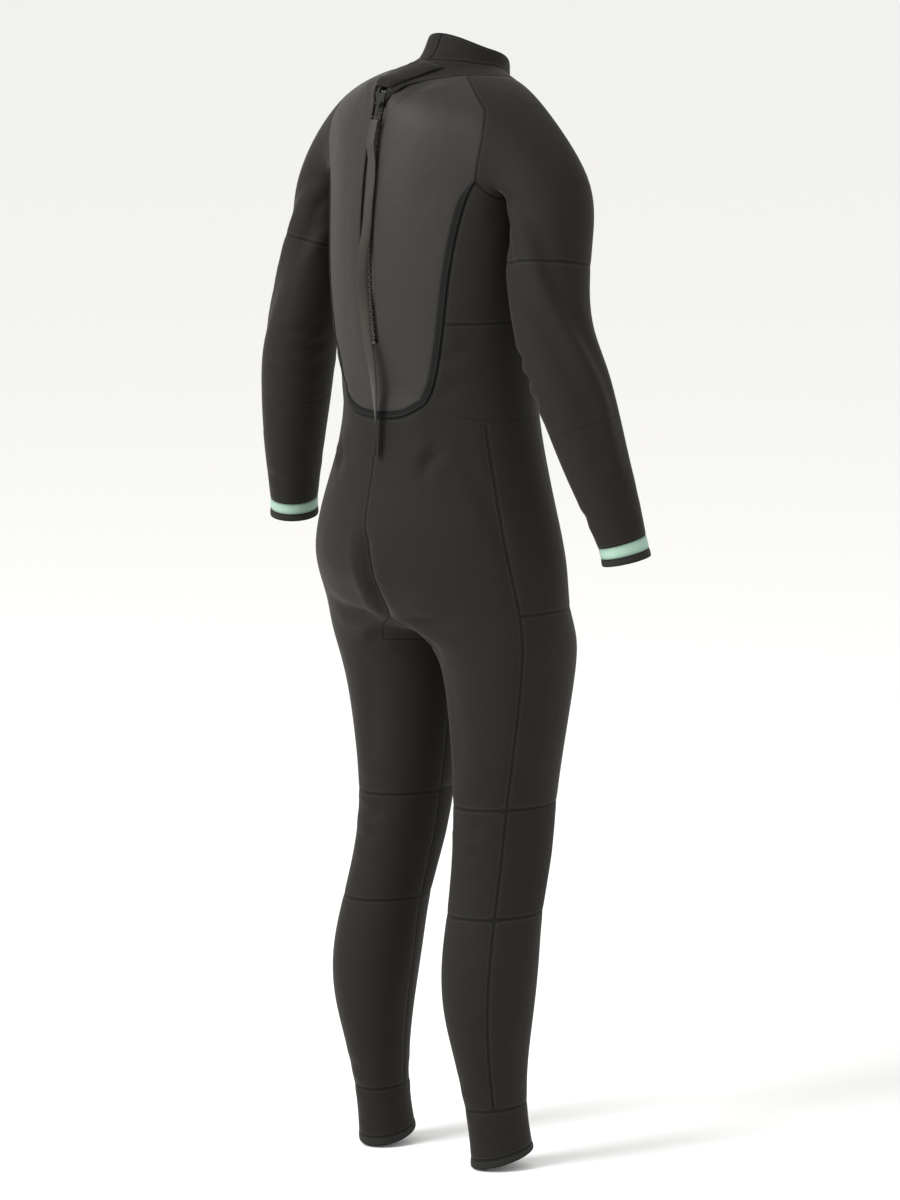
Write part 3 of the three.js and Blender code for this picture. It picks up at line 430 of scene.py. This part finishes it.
def cut(name, test, at=None, lead=None, roll=1.8, dip=.75):
    """Cuts the faces that pass the test out of the skin, as one closed panel with a rolled edge."""
    at = V if at is None else at
    which = np.nonzero(test)[0]
    rim, way = seam_rim(which, at)
    used = np.unique(F[which])
    here = at[used].copy()
    spot = {p: i for i, p in enumerate(used)}
    nearest = kdtree.KDTree(sum(max(1, int(np.linalg.norm(at[b] - at[a]) / 1.5)) for a, b in rim))
    along, k = [], 0
    for run in walk(rim):
        s = 0.0
        for a, b in zip(run, run[1:]):
            d = np.linalg.norm(at[b] - at[a])
            steps = max(1, int(d / 1.5))
            for i in range(steps):
                nearest.insert(at[a] + (at[b] - at[a]) * i / steps, k)
                along.append((s + d * i / steps, a))
                k += 1
            s += d
    nearest.balance()
    uv = np.zeros((len(used), 2))
    for i, p in enumerate(used):
        co, j, d = nearest.find(at[p])
        uv[i] = along[j][0], min(d, 40) + 12 * flush[along[j][1]]
        if lead is not None:                              # room left along the edge for a binding
            w = lead.get(along[j][1], 0)
            if p in way:
                here[i] += way[p] * lead.get(p, 0)
            elif d < 60 and w > 0:
                push = at[p] - np.array(co)
                push -= N[p] * (push @ N[p])
                here[i] += unit(push) * w * (1 - d / 60)
    n = N[used]
    here -= n * (.6 * np.exp(-uv[:, 1:] / 5))             # the foam is pinched where it is glued
    edge = sorted(way)
    cell = {p: 1e9 for p in edge}
    for a, b in rim:
        d = np.linalg.norm(at[b] - at[a])
        cell[a], cell[b] = min(cell[a], d), min(cell[b], d)
    inset = {p: min(.5 if flush[p] else roll, .4 * cell[p]) for p in edge}
    sink = {p: .1 if flush[p] else dip for p in edge}
    outer = here.copy()
    for p in edge:
        outer[spot[p]] = here[spot[p]] + way[p] * (GAP + inset[p])
    lip_spot = {p: len(used) + i for i, p in enumerate(edge)}
    lip = np.array([here[spot[p]] + way[p] * GAP - N[p] * (sink[p] - .5 * (not flush[p])) for p in edge])
    lip_n = np.array([N[p] for p in edge])
    top = np.vstack([outer, lip])
    under = np.vstack([outer - n * WALL, lip - lip_n * (WALL - np.array([[sink[p]] for p in edge]))])
    m = len(top)
    quads = [[spot[p] for p in F[i]] for i in which]
    quads += [[lip_spot[a], lip_spot[b], spot[b], spot[a]] for a, b in rim]
    shell = quads + [[m + q for q in reversed(quad)] for quad in quads]
    shell += [[lip_spot[b], lip_spot[a], m + lip_spot[a], m + lip_spot[b]] for a, b in rim]
    uv_lip = np.array([(uv[spot[p]][0], 12 * flush[p]) for p in edge])
    uv[[spot[p] for p in edge], 1] = [inset[p] + 12 * flush[p] for p in edge]
    uv_top = np.vstack([uv, uv_lip])
    return solid(name, np.vstack([top, under]), shell, np.vstack([uv_top, uv_top + (0, 100)]) / 1000)


def linear(code):
    """An sRGB hex colour as the linear values that a shader takes."""
    rgb = [int(code[i:i + 2], 16) / 255 for i in (0, 2, 4)]
    return tuple(v / 12.92 if v <= .04045 else ((v + .055) / 1.055) ** 2.4 for v in rgb) + (1,)


def node(mat, kind, inputs=(), **settings):
    """One node with its settings, and its inputs as values or as the sockets that feed them."""
    new = mat.node_tree.nodes.new("ShaderNode" + kind)
    for key, value in settings.items():
        setattr(new, key, value)
    for key, value in dict(inputs).items():
        if isinstance(value, bpy.types.NodeSocket):
            mat.node_tree.links.new(value, new.inputs[key])
        else:
            new.inputs[key].default_value = value
    return new


def material(name):
    mat = bpy.data.materials.new(name)
    mat.use_nodes = True
    mat.node_tree.nodes.clear()
    return mat


def jersey(name, face, knit=1.6, rough=.82, sheen=.12, stitch="24221f"):
    """Nylon jersey over neoprene: matt with a soft sheen at grazing angles, a fine knit, faint clouds from
    stretching over the foam, and small stitches 3.5 mm in from each seam."""
    mat = material(name)
    place = node(mat, "TexCoord").outputs["Object"]
    seam = node(mat, "SeparateXYZ", {"Vector": node(mat, "UVMap", uv_map="seam").outputs[0]})
    cloud = node(mat, "TexNoise", {"Vector": place, "Scale": 1000 / 70, "Detail": 4, "Roughness": .55})
    tone = node(mat, "MapRange", {"Value": cloud.outputs[0], "To Min": .9, "To Max": 1.12})
    grain = node(mat, "TexNoise", {"Vector": place, "Scale": 1000 / knit, "Detail": 2, "Roughness": .7})
    fleck = node(mat, "MapRange", {"Value": grain.outputs[0], "To Min": .86, "To Max": 1.14})
    both = node(mat, "Math", {0: tone.outputs[0], 1: fleck.outputs[0]}, operation="MULTIPLY")
    # the stitch row: 3 mm stitches, half a mm thick, 3.5 mm from the edge
    off = node(mat, "Math", {0: seam.outputs[1], 1: .0035, 2: .0006}, operation="COMPARE")
    run = node(mat, "Math", {0: seam.outputs[0], 1: .0032}, operation="FLOORED_MODULO")
    dash = node(mat, "Math", {0: run.outputs[0], 1: .0021}, operation="LESS_THAN")
    thread = node(mat, "Math", {0: off.outputs[0], 1: dash.outputs[0]}, operation="MULTIPLY")
    # painted shade: the colour darkens to 45% of its value within 3 mm of each seam's edge, where the glued
    # groove lies in shade
    seam_shade = node(mat, "MapRange", {"Value": seam.outputs[1], "From Min": .0006, "From Max": .003,
                                    "To Min": .45, "To Max": 1})
    shade = node(mat, "Math", {0: both.outputs[0], 1: seam_shade.outputs[0]}, operation="MULTIPLY")
    dark = node(mat, "VectorMath", {0: linear(face)[:3], 1: shade.outputs[0]}, operation="MULTIPLY")
    paint = node(mat, "Mix", data_type="RGBA")
    paint_in = {i.identifier: i for i in paint.inputs}
    mat.node_tree.links.new(thread.outputs[0], paint_in["Factor_Float"])
    mat.node_tree.links.new(dark.outputs[0], paint_in["A_Color"])
    paint_in["B_Color"].default_value = linear(stitch)
    crease = node(mat, "TexNoise", {"Vector": place, "Scale": 1000 / 45, "Detail": 3, "Roughness": .45,
                                    "Distortion": .6})
    bump = node(mat, "Bump", {"Height": crease.outputs[0], "Strength": .35, "Distance": .004})
    bump = node(mat, "Bump", {"Height": grain.outputs[0], "Strength": .25, "Distance": .0004,
                              "Normal": bump.outputs[0]})
    bump = node(mat, "Bump", {"Height": thread.outputs[0], "Strength": .5, "Distance": .0006,
                              "Normal": bump.outputs[0]})
    rub = node(mat, "MapRange", {"Value": cloud.outputs[0], "To Min": rough - .08, "To Max": rough + .08})
    mixed = next(o for o in paint.outputs if o.identifier == "Result_Color")
    skin = node(mat, "BsdfPrincipled", {
        "Base Color": mixed, "Roughness": rub.outputs[0], "Normal": bump.outputs[0], "Sheen Weight": sheen,
        "Sheen Roughness": .4, "Sheen Tint": linear("b5aea2"), "Specular IOR Level": .2})
    node(mat, "OutputMaterial", {"Surface": skin.outputs[0]})
    return mat


def dress(obj, mat, body, stands_for):
    obj.data.materials.clear()
    obj.data.materials.append(mat)
    if body:
        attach(obj, body)
    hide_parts(*stands_for)
    return obj


def at_joint(side, kind):
    """Two points on the given side, where an elbow or a knee starts and ends along the limb, in metres from the
    collar's foot.
    """
    s = 1 if side == "left" else -1
    ends = {"elbow": ((209, 6, 1160), (262, -2, 990)), "knee": ((90, -36, 495), (97, -12, 305))}[kind]
    return [tuple(((np.array(p) * (s, 1, 1)) - collar_foot) / 1000) for p in ends]


# the suit's main lining and the slightly duller one of its small pieces, both nylon jersey
body_black = jersey("nylon_jersey_black", "161411")
panel_black = jersey("nylon_jersey_black_dark", "141210", rough=.85, sheen=.1)
trunk, leg, arm = part == BODY, part == LEG, part == SLEEVE
front_of_leg = (col >= 20) | (col < 10)
gusset = leg & (row >= 22) & (col >= 16)


def within(x, a, b):
    return (x >= a) & (x < b)


# ---- Chest, abdomen and gusset ----
# The large front panels are plain black jersey. The gusset between the legs is a separate, stretchier piece.
for name, test, mat, slot in (
        ("chest_panel", trunk & (col < 4) & within(row, 8, 22), body_black, "neoprene_black"),
        ("abdomen_panel", trunk & (col < 10) & (row < 8), body_black, "neoprene_black"),
        ("crotch_gusset", gusset, panel_black, "neoprene_dark")):
    dress(cut(name, test), mat, "torso", [name])

# ---- Sides, shoulders and sleeves ----
# The raglan shoulder runs from the collar over the shoulder to the upper arm in one piece, so no seam lies on
# top of the shoulder. The elbow section is glued to its lower edge, and the forearm to that.
for side, s in (("left", 1), ("right", -1)):
    mine = flank == s
    raglan_end = trunk & within(col, 4, 12) & within(row, 20, 22)
    for name, test in (
            ("side_panel_", trunk & mine & within(col, 4, 12) & within(row, 12, 16)),
            ("waist_side_", trunk & mine & within(col, 4, 12) & within(row, 8, 12)),
            ("raglan_shoulder_", mine & (raglan_end | (arm & (row < 5))))):
        dress(cut(name + side, test), body_black, "torso", [name + side])
    start, end = at_joint(side, "elbow")
    for name, test in (
            ("elbow_section_", arm & mine & within(row, 5, 12)),
            ("forearm_", arm & mine & within(row, 12, 19))):
        piece = dress(cut(name + side, test), body_black, None, [name + side])
        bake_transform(piece)

# ---- Wrist bands and hems ----
# A printed pale green band runs round each sleeve end, over a short black hem that is turned and stitched.
# a pale green print on stretch tape, and the black tape of the hems
band_green = jersey("printed_band_green", "8aa596", rough=.5, sheen=.1, stitch="7b9686")
hem_black = jersey("overlocked_hem_black", "1c1b19", rough=.8, sheen=.1)
for side, s in (("left", 1), ("right", -1)):
    mine = arm & (flank == s)
    for name, test, mat, slot in (
            ("wrist_band_", mine & within(row, 19, 21), band_green, "mint_print"),
            ("wrist_hem_", mine & (row == 21), hem_black, "neoprene_dark")):
        dress(cut(name + side, test), mat, "forearm_" + side[0], [name + side])

# ---- Legs ----
# Seat and back of the thigh are one long panel; the knee has a pad in front and plain jersey behind it.
# knee pads: jersey with a printed rubber grip, rougher and without sheen
knee_rubber = jersey("knee_pad_print", "181613", knit=2.4, rough=.88, sheen=.06)
for side, s in (("left", 1), ("right", -1)):
    mine = flank == s
    front = leg & mine & front_of_leg
    behind = leg & mine & ~front_of_leg
    seat = trunk & mine & (col >= 10) & (row < 8)
    start, end = at_joint(side, "knee")
    for name, test, mat, slot in (
            ("seat_thigh_", seat | (behind & (row >= 16) & ~gusset), body_black, "neoprene_black"),
            ("front_thigh_", front & (row >= 16) & ~gusset, body_black, "neoprene_black"),
            ("knee_pad_", front & within(row, 12, 16), knee_rubber, "knee_pad"),
            ("knee_back_", behind & within(row, 12, 16), body_black, "neoprene_black"),
            ("shin_", front & within(row, 4, 12), body_black, "neoprene_black"),
            ("calf_", behind & within(row, 4, 12), body_black, "neoprene_black")):
        piece = dress(cut(name + side, test), mat, None, [name + side])
        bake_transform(piece)
    for name, test, mat, slot in (
            ("ankle_cuff_", leg & mine & within(row, 1, 4), body_black, "neoprene_black"),
            ("ankle_hem_", leg & mine & (row == 0), hem_black, "neoprene_dark")):
        dress(cut(name + side, test), mat, "shin_" + side[0], [name + side])

# ---- Back panel and its binding ----
# The back panel is smooth-skin neoprene, a grey face without jersey that sheds wind; its lower edge is sewn
# over with a black binding tape 9 mm wide.
back_skin = opened(SLOT)
bind = {}
back = trunk & (col >= 12) & within(row, 8, 22)
for i in np.nonzero(back)[0]:
    for k in range(4):
        r, c = Q[i, k] / fine
        if (c == 12 and 8 <= r <= 16) or (r == 8 and c >= 12):
            bind[F[i, k]] = 9 * ease(16.1, 15.3, r) if c == 12 else 9
# smooth-skin neoprene: the foam's own closed skin, a little glossier than jersey
grey = jersey("smooth_skin_grey", "242220", knit=1.2, rough=.6, sheen=.1, stitch="272522")
dress(cut("back_panel", back, back_skin, bind), grey, "torso", ["back_panel"])

rim, way = seam_rim(np.nonzero(back)[0], back_skin)
chain = dict((a, b) for a, b in rim if a in bind and b in bind)
start = next(a for a in chain if a not in set(chain.values()))
run = [start]
while run[-1] in chain:
    run.append(chain[run[-1]])
rings, uv, s = [], [], 0.0
for i, p in enumerate(run):
    w = max(bind[p], .6)
    s += np.linalg.norm(back_skin[p] - back_skin[run[i - 1]]) if i else 0
    hoop = [(.2, -1.2), (.9, .3), (w * .3, .8), (w * .7, .8),
            (w - .9, .4), (w - .1, -1), (w - .1, -4), (.2, -4)]
    rings.append([back_skin[p] + way[p] * max(.2, min(d, w)) + N[p] * h for d, h in hoop])
    uv += [(s, d) for d, h in hoop]
n = len(rings[0])
quads = [(i * n + k, i * n + (k + 1) % n, (i + 1) * n + (k + 1) % n, (i + 1) * n + k)
         for i in range(len(rings) - 1) for k in range(n)]
ends = [tuple(reversed(range(n))), tuple(range((len(rings) - 1) * n, len(rings) * n))]
# binding: matt black polyester tape, folded over the panel's edge
tape_black = jersey("binding_tape_black", "0c0b0a", knit=1.0, rough=.9, sheen=0)
dress(solid("back_panel_binding", np.vstack(rings), quads + ends, np.array(uv) / 1000), tape_black, "torso",
      ["back_panel_binding"])

# ---- Yoke and collar ----
# A soft, thin neoprene yoke joins the shoulders to a standing collar; both are open at the back for the zip.
# neck: thin, soft neoprene with a fine matt jersey
neck_black = jersey("neck_neoprene_black", "110f0d", knit=1.2, rough=.8, sheen=.08)
neck_skin = opened(.4)
apart = (grid_row < 92) & (grid_row >= 88) & (grid_col > 60) & (V[:, 1] > 0)
neck_skin[apart, 0] += (grid_side * 6.5 * (92 - grid_row) / 4 * (grid_col - 60) / 4)[apart]
for name, low, high in (("neck_yoke", 22, 24), ("standing_collar", 24, 26)):
    dress(cut(name, trunk & within(row, low, high), neck_skin), neck_black, "torso", [name])

# ---- Pull leash ----
# A flat woven nylon ribbon, 13 mm wide, sewn through the puller's loop. It lies down the back over the zip
# and hangs free below it, turning a little on itself.
route = np.array([[0, 112.7, 1372.8], [0, 113.9, 1374.3], [0, 115.7, 1373.7], [0, 116.5, 1371.9],
                  [0, 118.3, 1364.6], [0, 123.7, 1345.4], [-6.1, 126.2, 1320.7], [-8, 129.8, 1296.8],
                  [-6.9, 132.5, 1272.8], [-6, 134.4, 1248.7], [-3.6, 135.5, 1224.6], [0.5, 136.9, 1201],
                  [3, 136, 1177.1], [1.4, 136, 1153.2], [-1.7, 135.6, 1129.4], [-3.1, 134.6, 1105.4],
                  [-5.4, 132.7, 1081.6], [-8.4, 129.6, 1058], [-9, 126.9, 1034.2], [-9.3, 125, 1010.3],
                  [-9.7, 124.3, 986.3], [-10.2, 124, 962.3], [-10.6, 125.7, 939]])
gone = np.concatenate([[0], np.cumsum(np.linalg.norm(np.diff(route, axis=0), axis=1))])
points_along = 121
even = np.linspace(0, gone[-1], points_along)
line = np.stack([np.interp(even, gone, route[:, k]) for k in range(3)], 1)
for _ in range(2):
    line[6:-1] = (line[5:-2] + 2 * line[6:-1] + line[7:]) / 4
turn = np.radians(np.interp(even, [0, 60, 120, 180, 225, 270, 310, 365, 405, 443],
                            [0, 0, 8, 38, 50, 20, 10, -25, -48, -62]))
verts, uv = [], []
for i, p in enumerate(line):
    t = unit(line[min(i + 1, points_along - 1)] - line[max(i - 1, 0)])
    flat, out = np.array([1, 0, 0]), unit(np.cross(np.array([1, 0, 0]), t))
    out = out if i > 3 and out[1] > 0 or i <= 3 else -out
    wide = flat * math.cos(turn[i]) + out * math.sin(turn[i])
    up = unit(np.cross(wide, t))
    for a, h in ((-6.5, -.5), (-6.2, -.65), (6.2, -.65), (6.5, -.5),
                 (6.5, .5), (6.2, .65), (-6.2, .65), (-6.5, .5)):
        verts.append(p + wide * a + up * h)
        uv.append((even[i], a + 6.5))
quads = [(i * 8 + k, i * 8 + (k + 1) % 8, i * 8 + 8 + (k + 1) % 8, i * 8 + 8 + k)
         for i in range(points_along - 1) for k in range(8)]
ends = [tuple(range(7, -1, -1)), tuple(range(8 * points_along - 8, 8 * points_along))]
ribbon = solid("pull_leash", np.array(verts), quads + ends, np.array(uv) / 1000)
# the ribbon's close nylon weave, greyer than the suit from wear
ribbon_nylon = jersey("woven_nylon_ribbon", "2c2925", knit=.9, rough=.5, sheen=.25)
dress(ribbon, ribbon_nylon, "leash", ["pull_leash"])

# ---- Zip, patches and flap ----
# Two rows of black moulded acetal teeth on woven polyester tape, closed by a lacquered die-cast slider. A
# loop patch is sewn on the yoke and a hook patch under the flap.
zip_kinds = {  # face colour, roughness, metal, gloss, grain in mm
    "moulded_acetal": ("2b2926", .38, 0, .5, 6), "woven_polyester_tape": ("35322d", .85, 0, .15, .7),
    "lacquered_zinc": ("1b1a18", .36, .55, .5, 9), "hook_and_loop_nylon": ("131210", .9, 0, .1, 1.1)}
for kind, (face, rough, metal, gloss, grain_mm) in zip_kinds.items():
    mat = material(kind)
    place = node(mat, "TexCoord").outputs["Object"]
    grain = node(mat, "TexNoise", {"Vector": place, "Scale": 1000 / grain_mm, "Detail": 3, "Roughness": .6})
    tone = node(mat, "MapRange", {"Value": grain.outputs[0], "To Min": .8, "To Max": 1.2})
    paint = node(mat, "VectorMath", {0: linear(face)[:3], 1: tone.outputs[0]}, operation="MULTIPLY")
    wear = node(mat, "MapRange", {"Value": grain.outputs[0], "To Min": rough - .07, "To Max": rough + .07})
    relief = node(mat, "Bump", {"Height": grain.outputs[0], "Strength": .3, "Distance": .0003})
    skin = node(mat, "BsdfPrincipled", {
        "Base Color": paint.outputs[0], "Roughness": wear.outputs[0], "Metallic": metal,
        "Specular IOR Level": gloss, "Normal": relief.outputs[0]})
    node(mat, "OutputMaterial", {"Surface": skin.outputs[0]})
for node_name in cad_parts:
    kind = ("woven_polyester_tape" if node_name.startswith(("zip_tape_", "zip_guard")) else
            "lacquered_zinc" if node_name in ("zip_slider", "zip_puller") else
            "hook_and_loop_nylon" if node_name.endswith("_patch") else
            "moulded_acetal" if node_name.startswith("zip_") else None)
    if kind:
        for place in bpy.data.objects[node_name].material_slots:
            place.material = bpy.data.materials[kind]

# ---- Collar flap ----
# The flap is a soft tab of 3 mm neoprene, sewn on at the foot of the collar. It folds down over the top of
# the zip and is pressed onto the yoke by its patch, so its edges turn down a little.
spine = np.array([neck_skin[spots[(r, 64)]] for r in range(80, 97)])
spine = spine[spine[:, 2].argsort()]
yoke_points = np.nonzero((grid_row > 78) & (abs(V[:, 0]) < 60) & (V[:, 1] > 40))[0]
on_yoke = kdtree.KDTree(len(yoke_points))
for i in yoke_points:
    on_yoke.insert(neck_skin[i], int(i))
on_yoke.balance()
top_side, under_side = [], []
for i in range(25):
    u = i / 24
    y = 97 - 75 * u
    for j in range(29):
        v = j / 28 * 2 - 1
        half = 21 if v > 0 else 16 + 19 * u                # wider on the wearer's right, toward the collar
        x = half * v * (1 - .3 * max(0, 1 - u / .25) ** 2.2) + 1    # the free end is rounded
        drop = 3.2 * abs(v) ** 3 + 2.6 * max(0, 1 - u / .2) ** 2 + 2.4 * ease(.86, 1, u)
        drop = drop - .8 * math.sin(5 * u + 2 * v)
        p = np.array([x, y, np.interp(-y, -spine[:, 1], spine[:, 2])])
        for _ in range(2):
            near = on_yoke.find(p)
            p += N[near[1]] * (6.2 - drop - (p - np.array(near[0])) @ N[near[1]])
        top_side.append(p)
        under_side.append(p - N[near[1]] * 2.6)
m = 25 * 29
grid = [(i * 29 + j, i * 29 + j + 1, (i + 1) * 29 + j + 1, (i + 1) * 29 + j)
        for i in range(24) for j in range(28)]
border = (list(range(29)) + [i * 29 + 28 for i in range(1, 25)]
          + [24 * 29 + j for j in range(27, -1, -1)] + [i * 29 for i in range(23, 0, -1)])
quads = grid + [tuple(m + q for q in reversed(g)) for g in grid]
quads += [(b, a, m + a, m + b) for a, b in zip(border, border[1:] + border[:1])]
uv = [((i % m) / 29 / 1000 * 2, .02) for i in range(2 * m)]
flap = solid("collar_flap", np.array(top_side + under_side), quads, np.array(uv))
dress(flap, neck_black, "flap", ["collar_flap"])

# ---- Floor and light ----
# A plain pale floor just under the hems and broad soft studio light from behind the wearer's back.
bpy.ops.object.select_all(action="DESELECT")
bpy.ops.mesh.primitive_plane_add(size=60, location=(0, 0, -1.4475))
floor = bpy.context.object
floor.name = "studio_floor"
pale = material("pale_floor")
matt = node(pale, "BsdfPrincipled", {"Base Color": linear("f4f3f1"), "Roughness": .9})
node(pale, "OutputMaterial", {"Surface": matt.outputs[0]})
floor.data.materials.append(pale)
world = bpy.data.worlds.new("studio")
bpy.context.scene.world = world
world.use_nodes = True
world.node_tree.nodes["Background"].inputs[0].default_value = (1, 1, 1, 1)
world.node_tree.nodes["Background"].inputs[1].default_value = .97


def softbox(name, at, size, power):
    lamp = bpy.data.lights.new(name, "AREA")
    lamp.shape, lamp.size, lamp.energy = "DISK", size, power
    obj = bpy.data.objects.new(name, lamp)
    obj.location = at
    obj.rotation_euler = (Vector((0, .05, -.6)) - Vector(at)).to_track_quat("-Z", "Y").to_euler()
    bpy.context.scene.collection.objects.link(obj)


softbox("key_light", (.7, 3.6, 2.0), 2.0, 240)
softbox("fill_light", (-4, 1.5, .6), 2.5, 14)
